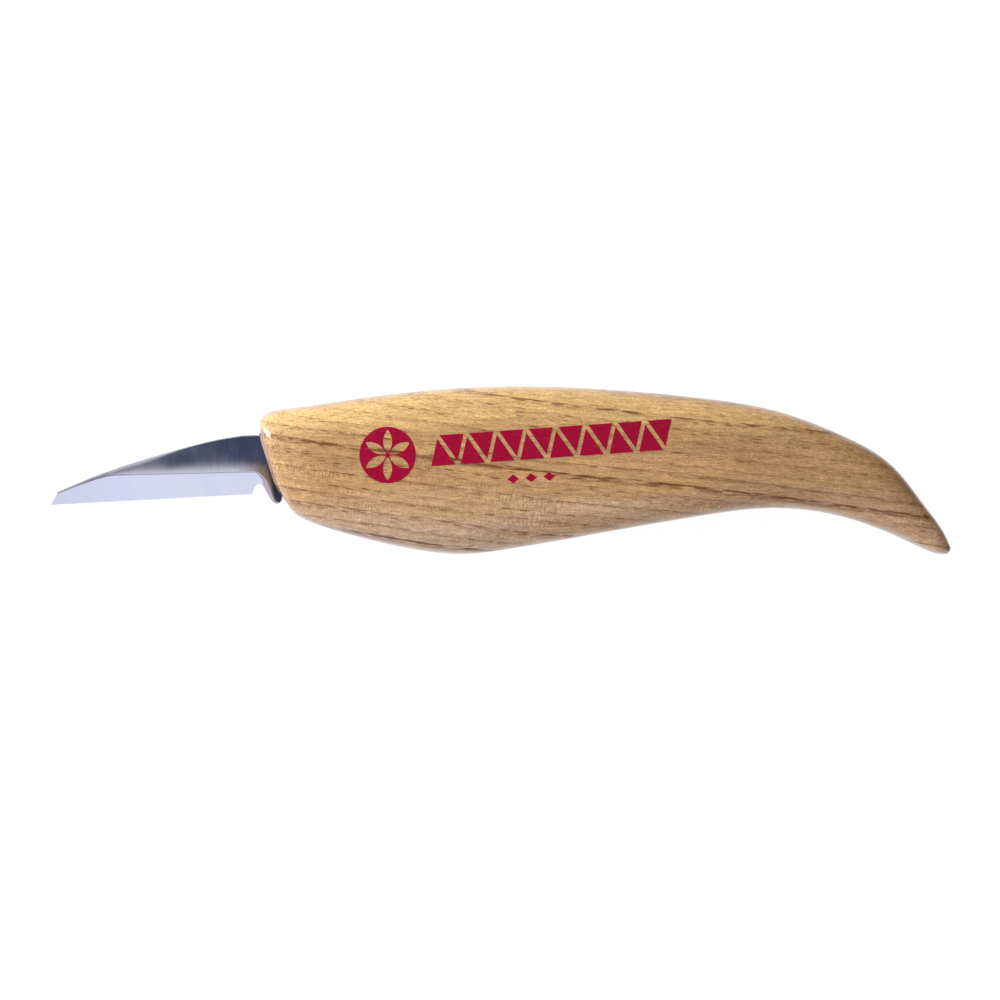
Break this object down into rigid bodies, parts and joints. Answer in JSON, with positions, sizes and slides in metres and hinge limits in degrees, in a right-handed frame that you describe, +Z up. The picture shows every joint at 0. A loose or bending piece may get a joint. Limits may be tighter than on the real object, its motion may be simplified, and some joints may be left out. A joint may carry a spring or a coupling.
{
  "type": "chip carving knife",
  "caption": "Fixed-blade chip carving knife: a short straight-edged clipped blade set in a swept wooden palm grip with a hooked butt.",
  "frame": {"origin": "middle of the underside of the knife's overall box, with the knife lying on its side", "axes": "+X from the blade's tip towards the butt, +Y from the cutting edge towards the spine, +Z up out of the printed side"},
  "size_m": [0.17, 0.0318, 0.0201],
  "materials": {
    "ash_wood": "clear lacquered ash with open straight grain",
    "ground_steel": "carbon steel, fine ground flats and a polished bevel",
    "adhesive": "dark amber epoxy",
    "print_ink": "crimson pad print under the lacquer"
  },
  "bodies": {
    "root": {"grip": "ash_wood", "blade": "ground_steel", "tang_adhesive": "adhesive", "print_rosette": "print_ink", "print_border": "print_ink", "print_dots": "print_ink"}
  },
  "joints": []
}
